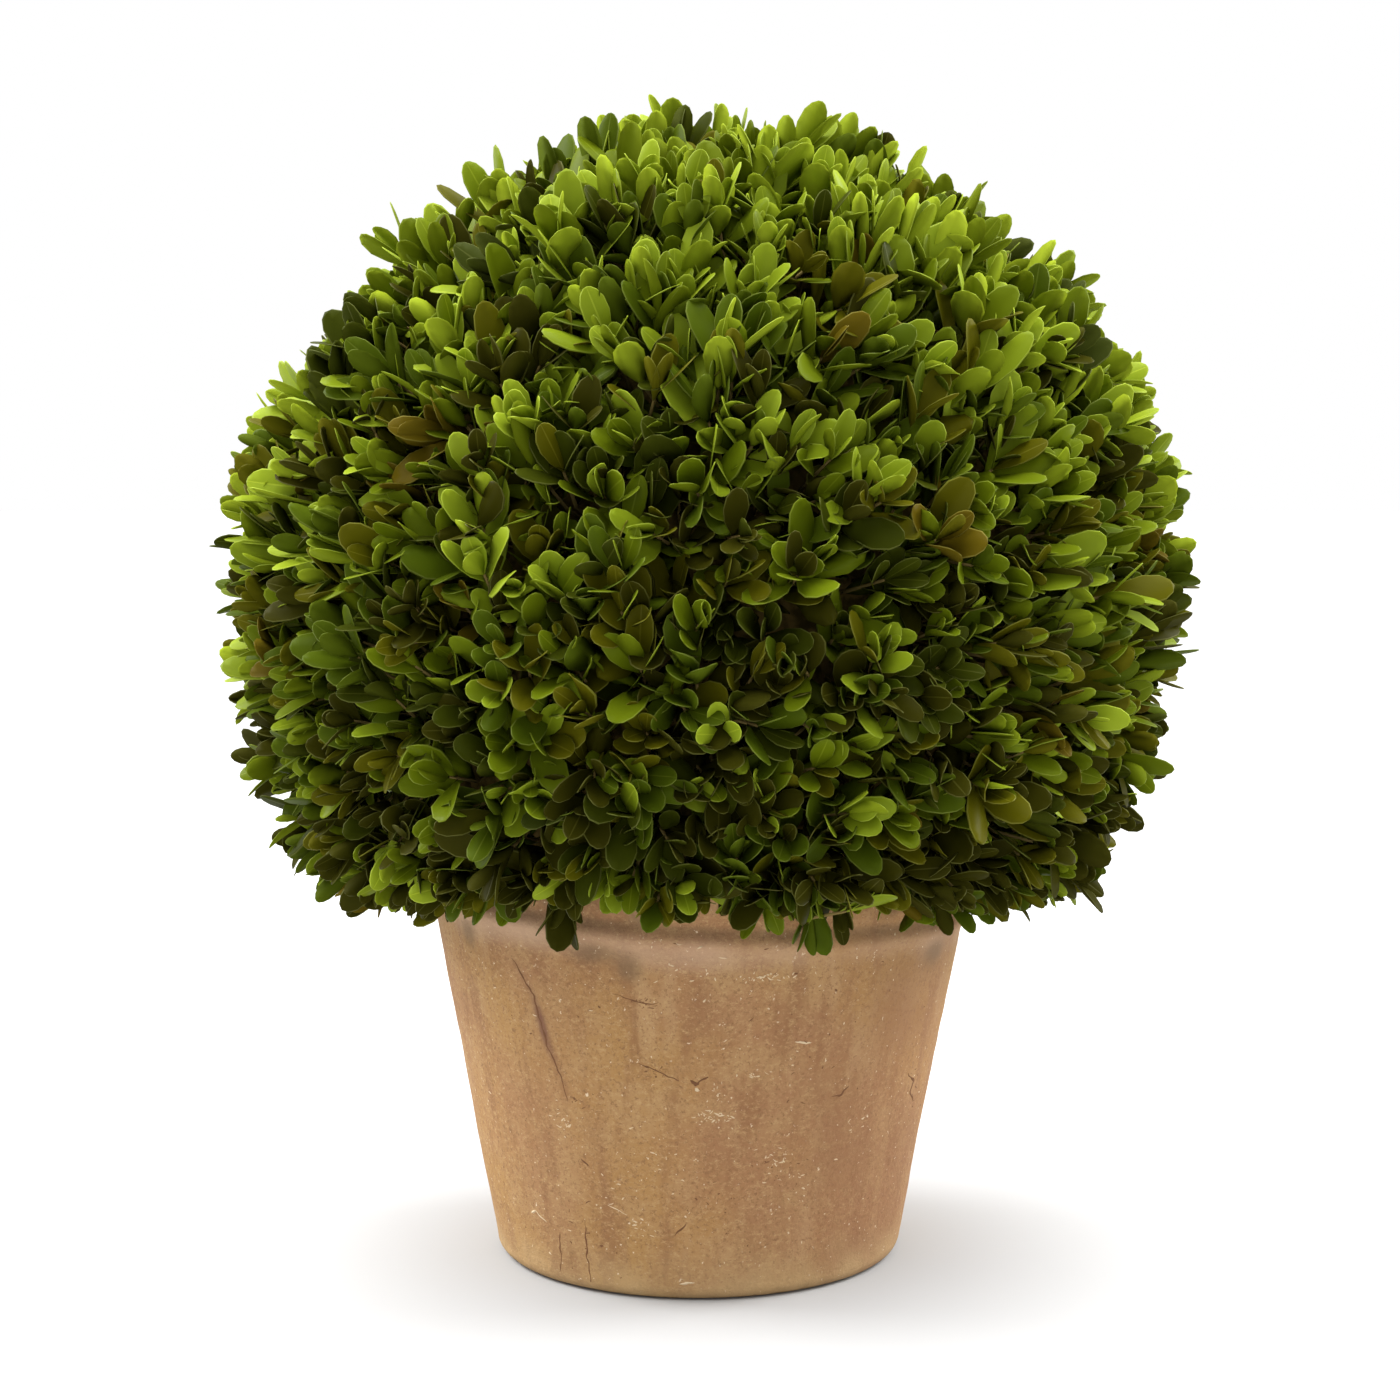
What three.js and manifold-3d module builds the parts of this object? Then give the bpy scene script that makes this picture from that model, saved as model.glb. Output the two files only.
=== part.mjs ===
// A box topiary ball in an old clay pot. Millimetres, +Z up.
// The origin is the middle of the pot's flat underside, on the surface that it stands on.
//
// The pot holds a fill of soil. A short stem stands on the soil and carries one clipped mass of foliage:
// a dense core, with twigs that stand out of it all round and carry opposite pairs of leaves.

import * as THREE from "three";
import { mergeVertices } from "three/addons/utils/BufferGeometryUtils.js";
import Module from "manifold-3d";

// ---- Driving dimensions ----

const POT = {
  height: 150,
  baseRadius: 75, // where the wall starts, above the rounded foot
  wallSlope: 0.182, // how far the wall leans out for each millimetre of height
  footRound: 5,
  wall: 9,
  floor: 11,
  shoulderDrop: 22, // a soft shoulder runs round the wall this far under the rim
  grooveDepth: 0.9, // over it lies a shallow groove
  grooveHeight: 9,
  lipRound: 3,
  sides: 64,
};

const SOIL = { top: 137, edgeDrop: 3, seatRadius: 30, clearance: 0.3 };

const STEM = {
  height: 33,
  footRadius: 20, // the root flare, at the soil
  neckRadius: 12, // above the flare
  tipRadius: 9.5,
  flareHeight: 9,
  lean: new THREE.Vector2(1.6, -1.1), // how far the tip stands off the foot
  sides: 12,
};

const CROWN = {
  centreX: 2.5, // the ball sits a little to one side of the pot
  centreZ: 241,
  radius: 180, // to the clipped surface, where the leaf tips end
  unevenness: 5, // how far single tips stand off that surface
  skirtZ: 122, // the lowest leaf tips at the sides
  skirtRise: 12, // the foliage is clipped this much higher at the front and back
  coreDepth: 50, // the core lies this deep under the clipped surface
  coreFootZ: 151.5, // flat underside of the core, just over the rim
  coreFootRadius: 106, // the core closes over the rim
  dishRadius: 42, // hollow in that underside, round the stem
  dishRoof: 6, // how far the dish rises over the stem's tip
  coreSides: 18,
  coreRings: 7,
};

const TWIG = {
  count: 100, // over the ball, down to where the skirt's own twigs take over
  lowest: -0.5, // how far down the ball they go, as a share of its radius
  footRadius: 3,
  tipRadius: 2.4,
  sides: 4,
  sway: 0.12,
};

// A ring of twigs that hang over the pot's rim.
const SKIRT = {
  count: 24,
  tipRadius: 112,
  rise: 44, // how far the twigs' tips stay over the clipped underside
  droop: 0.93, // angle under the level, in radians
  length: 45,
};

const LEAF = {
  length: 40,
  widthShare: 0.54,
  widest: 0.64, // share of the length from the root to the widest place
  thickness: 1.6,
  cup: 1.4, // how deep the middle lies under the edges
  sunk: 4.5, // how far the outer pair's roots lie below the end of the twig
  pairGap: 14, // from one pair to the next, along the twig
  spread: [0.6, 0.95], // angle from the twig in radians, for the outer and the inner pair
};

const CLEARANCE = 0.3; // between solids that meet
const KEEP_OUT = 0.8; // least distance from a leaf to the pot
const SEED = 2025;
const UP = new THREE.Vector3(0, 0, 1);

// ---- Solids from closed meshes ----

const wasm = await Module();
wasm.setup();

function solidOf(geometry) {
  const bare = geometry.clone();
  bare.deleteAttribute("normal");
  bare.deleteAttribute("uv");
  const merged = mergeVertices(bare, 1e-4);
  return new wasm.Manifold(
    new wasm.Mesh({
      numProp: 3,
      vertProperties: merged.attributes.position.array,
      triVerts: new Uint32Array(merged.index.array),
    }),
  );
}

function geometryOf(solid) {
  const mesh = solid.getMesh();
  const positions = new Float32Array(mesh.numVert * 3);
  for (let i = 0; i < mesh.numVert; i++) {
    const start = i * mesh.numProp;
    positions.set(mesh.vertProperties.subarray(start, start + 3), i * 3);
  }
  const geometry = new THREE.BufferGeometry();
  geometry.setAttribute("position", new THREE.BufferAttribute(positions, 3));
  geometry.setIndex(new THREE.BufferAttribute(new Uint32Array(mesh.triVerts), 1));
  geometry.computeVertexNormals();
  return geometry;
}

// A closed mesh from its corners and faces, where a face is a list of corner numbers seen from outside.
function closedMesh(corners, faces) {
  const geometry = new THREE.BufferGeometry();
  geometry.setAttribute(
    "position",
    new THREE.Float32BufferAttribute(corners.flatMap((p) => [p.x, p.y, p.z]), 3),
  );
  const triangles = faces.flatMap((f) =>
    f.slice(2).flatMap((last, i) => [f[0], f[i + 1], last]),
  );
  geometry.setIndex(triangles);
  return geometry;
}

// A solid of revolution about Z, from [radius, height] pairs that run up the outside and end on the axis.
function turned(profile, sides) {
  const points = profile.map(([radius, height]) => new THREE.Vector2(radius, height));
  return new THREE.LatheGeometry(points, sides).rotateX(Math.PI / 2);
}

// Two directions at right angles to a given one and to each other.
function squareTo(direction) {
  const helper = Math.abs(direction.z) > 0.9 ? new THREE.Vector3(1, 0, 0) : UP;
  const first = helper.clone().cross(direction).normalize();
  return [first, direction.clone().cross(first)];
}

// A tapering limb: rings of corners round a line of points, closed at both ends. The rings face one way.
function limb(points, radii, sides, facing, roll = 0) {
  const [across, up] = squareTo(facing);
  const corners = points.flatMap((p, ring) =>
    Array.from({ length: sides }, (_, k) => {
      const turn = roll + (2 * Math.PI * k) / sides;
      return p
        .clone()
        .addScaledVector(across, radii[ring] * Math.cos(turn))
        .addScaledVector(up, radii[ring] * Math.sin(turn));
    }),
  );
  const faces = [];
  for (let ring = 0; ring + 1 < points.length; ring++) {
    for (let k = 0; k < sides; k++) {
      const next = (k + 1) % sides;
      const low = ring * sides;
      faces.push([low + k, low + next, low + sides + next, low + sides + k]);
    }
  }
  const last = (points.length - 1) * sides;
  const round = Array.from({ length: sides }, (_, k) => k);
  faces.push(round.slice().reverse());
  faces.push(round.map((k) => last + k));
  return closedMesh(corners, faces);
}

// Repeatable random numbers from 0 to 1.
function seeded(seed) {
  let state = seed >>> 0;
  return () => {
    state = (state + 0x6d2b79f5) >>> 0;
    let mixed = Math.imul(state ^ (state >>> 15), state | 1);
    mixed ^= mixed + Math.imul(mixed ^ (mixed >>> 7), mixed | 61);
    return ((mixed ^ (mixed >>> 14)) >>> 0) / 4294967296;
  };
}

// ---- The pot and its fill ----

const wallRadius = (z) => POT.baseRadius + POT.wallSlope * (z - POT.footRound);
const innerRadius = (z) => wallRadius(z) - POT.wall;

// Points of a quarter circle about a centre, from one angle to another.
function arc(centreRadius, centreZ, radius, from, to, steps) {
  return Array.from({ length: steps + 1 }, (_, i) => {
    const angle = from + ((to - from) * i) / steps;
    return [centreRadius + radius * Math.cos(angle), centreZ + radius * Math.sin(angle)];
  });
}

function potGeometry() {
  const { height, baseRadius, footRound, floor, lipRound } = POT;
  const { shoulderDrop, grooveDepth, grooveHeight } = POT;
  const shoulderZ = height - shoulderDrop;
  const rim = wallRadius(height);
  const profile = [
    [0, 0],
    ...arc(baseRadius - footRound, footRound, footRound, -Math.PI / 2, 0, 4),
    [wallRadius(shoulderZ), shoulderZ],
    [wallRadius(shoulderZ + grooveHeight / 3) - grooveDepth, shoulderZ + grooveHeight / 3],
    [wallRadius(shoulderZ + grooveHeight), shoulderZ + grooveHeight],
    ...arc(rim - lipRound, height - lipRound, lipRound, 0, Math.PI / 2, 3),
    [innerRadius(height), height],
    [innerRadius(floor), floor],
    [0, floor],
  ];
  return turned(profile, POT.sides);
}

function soilGeometry() {
  const { top, edgeDrop, seatRadius, clearance } = SOIL;
  const foot = POT.floor + clearance;
  const edge = top - edgeDrop;
  const profile = [
    [0, foot],
    [innerRadius(foot) - clearance, foot],
    [innerRadius(edge) - clearance, edge],
    [seatRadius, top],
    [0, top],
  ];
  return turned(profile, POT.sides);
}

// ---- The stem ----

const stemTipZ = SOIL.top + STEM.height;

function stemPoint(share) {
  return new THREE.Vector3(
    STEM.lean.x * share,
    STEM.lean.y * share,
    SOIL.top + STEM.height * share,
  );
}

function stemGeometry() {
  const flare = STEM.flareHeight / STEM.height;
  const shares = [0, flare / 4, flare / 2, flare, (1 + flare) / 2, 1];
  const radii = shares.map((share) =>
    share < flare
      ? STEM.neckRadius + (STEM.footRadius - STEM.neckRadius) * (1 - share / flare) ** 2
      : STEM.neckRadius +
        ((STEM.tipRadius - STEM.neckRadius) * (share - flare)) / (1 - flare),
  );
  return limb(shares.map(stemPoint), radii, STEM.sides, UP);
}

// ---- The clipped mass of foliage ----

const centre = new THREE.Vector3(CROWN.centreX, 0, CROWN.centreZ);

// The height that the foliage is clipped to underneath, in a given direction round the pot.
function skirtHeight(p) {
  const round = Math.hypot(p.x, p.y) || 1;
  return CROWN.skirtZ + CROWN.skirtRise * (p.y / round) ** 2;
}

const keepsToCrown = (p) =>
  p.distanceTo(centre) < CROWN.radius + CROWN.unevenness && p.z > skirtHeight(p);

// The core is a ball with a flat underside just over the rim, and a dish in it round the stem's tip.
function coreGeometry() {
  const { centreZ, radius, coreDepth, coreFootZ, coreFootRadius, coreSides, coreRings } = CROWN;
  const { dishRadius, dishRoof } = CROWN;
  const coreRadius = radius - coreDepth;
  const dishTop = stemTipZ + CLEARANCE + dishRoof;
  const shoulder = -Math.acos(coreFootRadius / coreRadius);
  const profile = [
    [0, dishTop],
    [dishRadius * 0.7, dishTop],
    [dishRadius, coreFootZ],
    [coreFootRadius, coreFootZ],
    ...arc(0, centreZ, coreRadius, shoulder, Math.PI / 2, coreRings).slice(0, -1),
    [0, centreZ + coreRadius],
  ];
  return turned(profile, coreSides).translate(CROWN.centreX, 0, 0);
}

// The mass's own stem starts just clear of the short stem's tip and runs up inside the core.
const massStemFoot = stemPoint(1).addScaledVector(UP, CLEARANCE);
const massStemTop = centre.clone().addScaledVector(UP, CROWN.radius / 3);

// The ball's twigs: they leave the stem near the ball's middle, along a golden-angle spiral of directions,
// and end a leaf's length under the clipped surface.
function ballTwigs(random) {
  const golden = Math.PI * (3 - Math.sqrt(5));
  const foot = centre.clone().lerp(massStemTop, 0.3);
  return Array.from({ length: TWIG.count }, (_, i) => {
    const height = 1 - (1 - TWIG.lowest) * ((i + 0.5) / TWIG.count);
    const ring = Math.sqrt(1 - height * height);
    const turn = golden * i + (random() - 0.5) * TWIG.sway;
    const tilt = (random() - 0.5) * TWIG.sway;
    const direction = new THREE.Vector3(ring * Math.cos(turn), ring * Math.sin(turn), height + tilt);
    const short = LEAF.length * Math.cos(LEAF.spread[0]) + random() * CROWN.unevenness;
    const tip = centre.clone().addScaledVector(direction.normalize(), CROWN.radius - short);
    return { foot, tip, roll: random() * Math.PI, pairs: LEAF.spread.length };
  });
}

// The skirt's twigs: they leave the core over the rim and hang outward and down. Each carries one pair,
// rolled so that one leaf hangs down and the other stands out.
function skirtTwigs(random) {
  const { count, tipRadius, rise, droop, length } = SKIRT;
  return Array.from({ length: count }, (_, i) => {
    const turn = (2 * Math.PI * (i + (random() - 0.5) * TWIG.sway)) / count;
    const outward = new THREE.Vector3(Math.cos(turn), Math.sin(turn), 0);
    const tip = outward.clone().multiplyScalar(tipRadius);
    tip.z = skirtHeight(tip) + rise;
    const foot = tip.clone().addScaledVector(outward, -length * Math.cos(droop));
    foot.addScaledVector(UP, length * Math.sin(droop));
    return { foot, tip, roll: Math.PI / TWIG.sides, pairs: 1 };
  });
}

// A leaf lies along Y from its root, with its hollow face up: a kite with a rib above and one below.
function leafGeometry(length) {
  const half = (length * LEAF.widthShare) / 2;
  const { cup, thickness, widest } = LEAF;
  const corners = [
    new THREE.Vector3(0, 0, 0),
    new THREE.Vector3(half, length * widest, 0),
    new THREE.Vector3(0, length, 0),
    new THREE.Vector3(-half, length * widest, 0),
    new THREE.Vector3(0, length * widest, thickness / 2 - cup),
    new THREE.Vector3(0, length * widest, -thickness / 2 - cup),
  ];
  const above = 4;
  const below = 5;
  const faces = [];
  for (let k = 0; k < 4; k++) {
    const next = (k + 1) % 4;
    faces.push([k, next, above]);
    faces.push([next, k, below]);
  }
  return closedMesh(corners, faces);
}

// A leaf's place on a twig: it leaves the twig at an angle, and its cupped face looks back at the twig.
function leafPlace(node, along, turn, spread) {
  const outward = squareTo(along)[0].applyAxisAngle(along, turn);
  const lengthways = along
    .clone()
    .multiplyScalar(Math.cos(spread))
    .addScaledVector(outward, Math.sin(spread));
  const face = along
    .clone()
    .multiplyScalar(Math.sin(spread))
    .addScaledVector(outward, -Math.cos(spread));
  const across = lengthways.clone().cross(face);
  const place = new THREE.Matrix4().makeBasis(across, lengthways, face);
  return place.setPosition(node);
}

function cornersOf(geometry) {
  const position = geometry.getAttribute("position");
  return Array.from({ length: position.count }, (_, i) =>
    new THREE.Vector3().fromBufferAttribute(position, i),
  );
}

function touches(solid, other) {
  const a = solid.boundingBox();
  const b = other.boundingBox();
  const apart = [0, 1, 2].some((k) => a.min[k] > b.max[k] || b.min[k] > a.max[k]);
  return !apart && !solid.intersect(other).isEmpty();
}

// The space that no twig or leaf may enter: the pot, its mouth and a little round them.
function potSpace() {
  const profile = [
    [0, -KEEP_OUT],
    [wallRadius(0) + KEEP_OUT, -KEEP_OUT],
    [wallRadius(POT.height) + KEEP_OUT, POT.height + KEEP_OUT],
    [0, POT.height + KEEP_OUT],
  ];
  return solidOf(turned(profile, POT.sides));
}

// A twig's leaves, in opposite pairs: each further in is turned a quarter round and spread wider.
// Each leaf leaves the twig through the middle of one of its four sides.
function leavesOf(tip, along, roll, pairs, random) {
  const firstTurn = roll + Math.PI / TWIG.sides;
  return LEAF.spread.slice(0, pairs).flatMap((pairSpread, pair) => {
    const node = tip.clone().addScaledVector(along, -pair * LEAF.pairGap - LEAF.sunk);
    return [0, Math.PI].map((opposite) => {
      const length = LEAF.length * (0.92 + 0.14 * random());
      const turn = firstTurn + (pair * Math.PI) / 2 + opposite;
      const spread = pairSpread * (0.85 + 0.3 * random());
      return leafGeometry(length).applyMatrix4(leafPlace(node, along, turn, spread));
    });
  });
}

function foliageGeometry() {
  const random = seeded(SEED);
  const pot = potSpace();
  const massStem = [massStemFoot, massStemTop];
  const wood = [
    solidOf(coreGeometry()),
    solidOf(limb(massStem, [STEM.tipRadius, STEM.tipRadius / 2], STEM.sides, UP)),
  ];
  const leaves = [];
  for (const { foot, tip, roll, pairs } of [...skirtTwigs(random), ...ballTwigs(random)]) {
    const along = tip.clone().sub(foot).normalize();
    const sprig = leavesOf(tip, along, roll, pairs, random);
    const radii = [TWIG.footRadius, TWIG.tipRadius];
    const twig = solidOf(limb([foot, tip], radii, TWIG.sides, along, roll));
    if (touches(twig, pot)) continue;
    wood.push(twig);
    for (const leaf of sprig.filter((each) => cornersOf(each).every(keepsToCrown))) {
      const solid = solidOf(leaf);
      const isFree = ![pot, ...leaves].some((other) => touches(solid, other));
      if (isFree) leaves.push(solid);
    }
  }
  // Fusing can seal a hollow or leave a scrap: the outer skin alone is the mass.
  const bodies = wasm.Manifold.union([...wood, ...leaves]).decompose();
  const mass = bodies.reduce((most, body) => (body.volume() > most.volume() ? body : most));
  return geometryOf(mass);
}

// ---- The assembly ----

function part(name, geometry, color, roughness) {
  const mesh = new THREE.Mesh(
    geometry,
    new THREE.MeshStandardMaterial({ color, roughness, metalness: 0 }),
  );
  mesh.name = name;
  return mesh;
}

const topiary = new THREE.Group();
topiary.add(
  part("pot", potGeometry(), 0xb98f68, 0.9),
  part("soil", soilGeometry(), 0x3a2a1d, 1),
  part("stem", stemGeometry(), 0x6b5a41, 0.85),
  part("foliage_ball", foliageGeometry(), 0x4f6a1c, 0.55),
);

export default topiary;
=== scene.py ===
"""A box topiary ball in an old clay pot: the looks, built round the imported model.

The CAD pot, soil, stem and foliage mass are each replaced by a finer mesh in the same place. The foliage
grows by the same rule as the CAD mass: twigs on a golden-angle spiral over a clipped ball, rings of twigs
that hang over the rim, and leaves in opposite pairs, each pair turned a quarter round from the last.
"""

import math

import bpy
import numpy as np
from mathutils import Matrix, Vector, noise


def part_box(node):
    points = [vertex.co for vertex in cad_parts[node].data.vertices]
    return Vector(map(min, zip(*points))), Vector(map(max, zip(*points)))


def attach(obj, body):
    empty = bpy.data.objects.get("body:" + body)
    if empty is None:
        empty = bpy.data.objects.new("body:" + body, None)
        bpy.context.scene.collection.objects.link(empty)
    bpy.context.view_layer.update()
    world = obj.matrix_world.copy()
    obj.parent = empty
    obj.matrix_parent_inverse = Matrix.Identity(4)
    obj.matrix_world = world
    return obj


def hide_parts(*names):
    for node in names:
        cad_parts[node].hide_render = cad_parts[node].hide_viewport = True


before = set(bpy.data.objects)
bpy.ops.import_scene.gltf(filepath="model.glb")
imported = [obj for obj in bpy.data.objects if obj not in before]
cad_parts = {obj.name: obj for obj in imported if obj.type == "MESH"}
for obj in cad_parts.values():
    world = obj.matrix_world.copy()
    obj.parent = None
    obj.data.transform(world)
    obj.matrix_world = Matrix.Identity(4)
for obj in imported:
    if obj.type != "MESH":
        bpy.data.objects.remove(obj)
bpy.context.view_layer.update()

MM = 0.001
GOLDEN = math.pi * (3 - math.sqrt(5))
UP = np.array([0.0, 0.0, 1.0])
TINY = 1e-6  # keeps a division away from zero
NOISE_SHIFTS = (7.31, 3.17, 5.53)  # how far a seed of 1 shifts the noise
random = np.random.default_rng(61)

# ---- Sizes, in metres ----

POT_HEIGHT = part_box("pot")[1].z
RIM_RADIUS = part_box("pot")[1].x
BASE_RADIUS = 75 * MM
FOOT_ROUND = 5 * MM
WALL_SLOPE = (RIM_RADIUS - BASE_RADIUS) / (POT_HEIGHT - FOOT_ROUND)
WALL = 9 * MM
POT_FLOOR = 11 * MM
LIP_ROUND = 3 * MM

SOIL_LOW, SOIL_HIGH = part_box("soil")
STEM_LOW, STEM_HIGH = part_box("stem")
STEM_FOOT_RADIUS = STEM_HIGH.x
STEM_NECK_RADIUS = 12 * MM
STEM_TIP_RADIUS = 9.5 * MM
STEM_FLARE = 9 * MM  # the height of its root flare
STEM_LEAN = np.array([1.6, -1.1, 0]) * MM

CROWN_CENTRE = np.array([2.5, 0, 241]) * MM
CROWN_RADIUS = 175 * MM  # to the tips of the leaves
CORE_RADIUS = 127 * MM  # the dark thatch inside
CORE_FOOT = 151.8 * MM
SKIRT_LOW = 129 * MM  # the lowest leaf tips at the sides
SKIRT_RISE = 13 * MM  # clipped this much higher at the front and back


# ---- Meshes from arrays ----


def unit(vectors):
    return vectors / np.linalg.norm(vectors, axis=-1, keepdims=True)


def squares_to(directions):
    """Two directions at right angles to each given one and to each other."""
    steep = np.abs(directions[:, 2:3]) > 0.9
    helper = np.where(steep, np.array([1.0, 0.0, 0.0]), UP)
    first = unit(np.cross(helper, directions))
    return first, np.cross(directions, first)


def facing(degrees):
    """A level direction, in degrees from the front (-Y) towards +X."""
    turn = np.radians(degrees)
    return np.stack([np.sin(turn), -np.cos(turn), 0 * turn], -1)


def add_object(name, data):
    made = bpy.data.objects.new(name, data)
    bpy.context.scene.collection.objects.link(made)
    return made


def piece(name, points, faces, materials, node, kinds=None):
    """A mesh of triangles that stands for a CAD node. kinds picks each triangle's material."""
    mesh = bpy.data.meshes.new(name)
    mesh.vertices.add(len(points))
    mesh.vertices.foreach_set("co", np.asarray(points, np.float32).ravel())
    mesh.loops.add(faces.size)
    mesh.loops.foreach_set("vertex_index", faces.astype(np.int32).ravel())
    mesh.polygons.add(len(faces))
    mesh.polygons.foreach_set("loop_start", np.arange(0, faces.size, 3, dtype=np.int32))
    for material in materials:
        mesh.materials.append(material)
    if kinds is not None:
        mesh.polygons.foreach_set("material_index", kinds.astype(np.int32))
    mesh.update(calc_edges=True)
    made = add_object(name, mesh)
    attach(made, "root")
    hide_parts(node)
    return made


def circle(columns):
    """Level directions all the way round, from +X towards +Y."""
    turn = np.arange(columns) * 2 * math.pi / columns
    return np.stack([np.cos(turn), np.sin(turn), 0 * turn], -1)


def grid_faces(rows, columns):
    """Triangles of rings of points, row after row, each ring closed."""
    across = np.arange(columns)
    beside = (across + 1) % columns
    low = (np.arange(rows - 1) * columns)[:, None]
    a = low + across
    b = low + beside
    c = b + columns
    d = a + columns
    return np.concatenate([np.stack([a, b, c], -1), np.stack([a, c, d], -1)]).reshape(-1, 3)


def skin(rings, start, end):
    """Points and triangles of a closed skin: rings of points, drawn in to one point at either end."""
    rows, columns, _ = rings.shape
    points = np.concatenate([rings.reshape(-1, 3), [start, end]])
    ring = np.arange(columns)
    beside = (ring + 1) % columns
    last_row = (rows - 1) * columns
    start_fan = np.stack([0 * ring + rows * columns, beside, ring], -1)
    end_fan = np.stack([0 * ring + rows * columns + 1, last_row + ring, last_row + beside], -1)
    return points, np.concatenate([grid_faces(rows, columns), start_fan, end_fan])


def lathe(profile, columns):
    """Points and triangles of a profile of (radius, height) turned round Z, both of its ends on the axis."""
    radius = profile[1:-1, 0]
    height = profile[1:-1, 1]
    rings = circle(columns) * radius[:, None, None] + UP * height[:, None, None]
    return skin(rings, (0, 0, profile[0][1]), (0, 0, profile[-1][1]))


def tubes(paths, radii, sides):
    """Tapering tubes, closed at both ends. paths is (tubes, points, 3), and radii has one for each point."""
    count, steps, _ = paths.shape
    first, second = squares_to(unit(paths[:, -1] - paths[:, 0]))
    turn = np.arange(sides) * 2 * math.pi / sides
    ring = np.cos(turn)[:, None] * first[:, None] + np.sin(turn)[:, None] * second[:, None]
    points = paths[:, :, None] + ring[:, None] * np.asarray(radii)[None, :, None, None]
    caps = np.arange(1, sides - 1)
    foot = np.stack([0 * caps, caps + 1, caps], -1)
    tip = np.stack([0 * caps, caps, caps + 1], -1) + (steps - 1) * sides
    one = np.concatenate([grid_faces(steps, sides), foot, tip])
    return points.reshape(-1, 3), repeated(one, count, steps * sides)


def repeated(faces, count, each):
    """The triangles of many like meshes, each with its own points."""
    return (faces + (np.arange(count) * each)[:, None, None]).reshape(-1, 3)


def joined(meshes):
    """The points and triangles of several meshes as one."""
    points = np.concatenate([points for points, _ in meshes])
    starts = np.cumsum([0] + [len(points) for points, _ in meshes])
    return points, np.concatenate([faces + start for (_, faces), start in zip(meshes, starts)])


def noise_at(points, scale, seed):
    """Smooth noise from -1 to 1 at each point. scale is the size of its lumps."""
    shift = Vector([seed * step for step in NOISE_SHIFTS])
    return np.array([noise.noise(Vector(p) / scale + shift) for p in points])


def bell(values, middle, width):
    """1 at the middle, and falling off smoothly to either side."""
    return np.exp(-(((values - middle) / width) ** 2))


# ---- Materials ----

MIX_SHARE, MIX_UNDER, MIX_OVER, MIX_RESULT = 0, 6, 7, 2  # sockets of a Mix node that mixes colours


def new_material(name, roughness, specular):
    """A material and its shader, with no colour as yet."""
    material = bpy.data.materials.new(name)
    material.use_nodes = True
    shader = material.node_tree.nodes["Principled BSDF"]
    shader.inputs["Roughness"].default_value = roughness
    shader.inputs["Specular IOR Level"].default_value = specular
    return material, shader


def plain_material(name, color, roughness, specular):
    material, shader = new_material(name, roughness, specular)
    shader.inputs["Base Color"].default_value = (*color, 1)
    return material


class Surface:
    """A weathered material: a first colour, others laid over it in turn, and bumps, each on the last."""

    def __init__(self, name, color, roughness, specular=0.5):
        self.material, self.shader = new_material(name, roughness, specular)
        self.nodes = self.material.node_tree.nodes
        self.link = self.material.node_tree.links.new
        self.place = self.nodes.new("ShaderNodeTexCoord").outputs["Object"]
        self.color = color
        self.normal = None

    def noise(self, size, detail=4.0, roughness=0.55, stretch=(1, 1, 1)):
        """Noise with lumps of the given size in metres. A stretch under 1 draws them out that way."""
        mapping = self.nodes.new("ShaderNodeMapping")
        mapping.inputs["Scale"].default_value = stretch
        self.link(self.place, mapping.inputs["Vector"])
        node = self.nodes.new("ShaderNodeTexNoise")
        node.inputs["Scale"].default_value = 1 / size
        node.inputs["Detail"].default_value = detail
        node.inputs["Roughness"].default_value = roughness
        self.link(mapping.outputs["Vector"], node.inputs["Vector"])
        return node.outputs["Fac"]

    def mark(self, name):
        """A value that the mesh holds at each of its points."""
        node = self.nodes.new("ShaderNodeAttribute")
        node.attribute_name = name
        return node.outputs["Fac"]

    def cover(self, color, value, most=1.0, between=(0.0, 1.0)):
        """Lay a colour over the rest, from none where the value is low to most where it is high."""
        ramp = self.nodes.new("ShaderNodeMapRange")
        ramp.interpolation_type = "SMOOTHSTEP"
        ramp.inputs["From Min"].default_value = between[0]
        ramp.inputs["From Max"].default_value = between[1]
        ramp.inputs["To Max"].default_value = most
        self.link(value, ramp.inputs["Value"])
        mix = self.nodes.new("ShaderNodeMix")
        mix.data_type = "RGBA"
        self.link(ramp.outputs["Result"], mix.inputs[MIX_SHARE])
        if isinstance(self.color, tuple):
            mix.inputs[MIX_UNDER].default_value = (*self.color, 1)
        else:
            self.link(self.color, mix.inputs[MIX_UNDER])
        mix.inputs[MIX_OVER].default_value = (*color, 1)
        self.color = mix.outputs[MIX_RESULT]
        self.link(self.color, self.shader.inputs["Base Color"])

    def roughen(self, height, distance, strength=1.0):
        """Add bumps, as high as the distance in metres where the height is 1."""
        bump = self.nodes.new("ShaderNodeBump")
        bump.inputs["Distance"].default_value = distance
        bump.inputs["Strength"].default_value = strength
        self.link(height, bump.inputs["Height"])
        if self.normal is not None:
            self.link(self.normal, bump.inputs["Normal"])
        self.normal = bump.outputs["Normal"]
        self.link(self.normal, self.shader.inputs["Normal"])


# ---- Pot ----

POT_COLUMNS = 380
POT_ROWS = 92  # up the wall outside
INSIDE_ROWS = 8  # down the wall inside
INSIDE_TOP = 12 * MM  # the first of those lies this far under the rim
FOOT_STEPS = 7  # round the foot's edge
LIP_STEPS = 6  # round the lip
SKIN_DEPTH = 2.5 * MM  # points this far in from the wall's cone still belong to its outside
EDGE_KEPT = 0.2 * MM  # the relief starts this far from the underside and from the top of the lip

SHOULDER_Z = 130.5 * MM  # a soft shoulder runs round the wall, with a shallow groove over it
SHOULDER_TILT = -0.055  # and it runs lower towards +X

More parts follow.
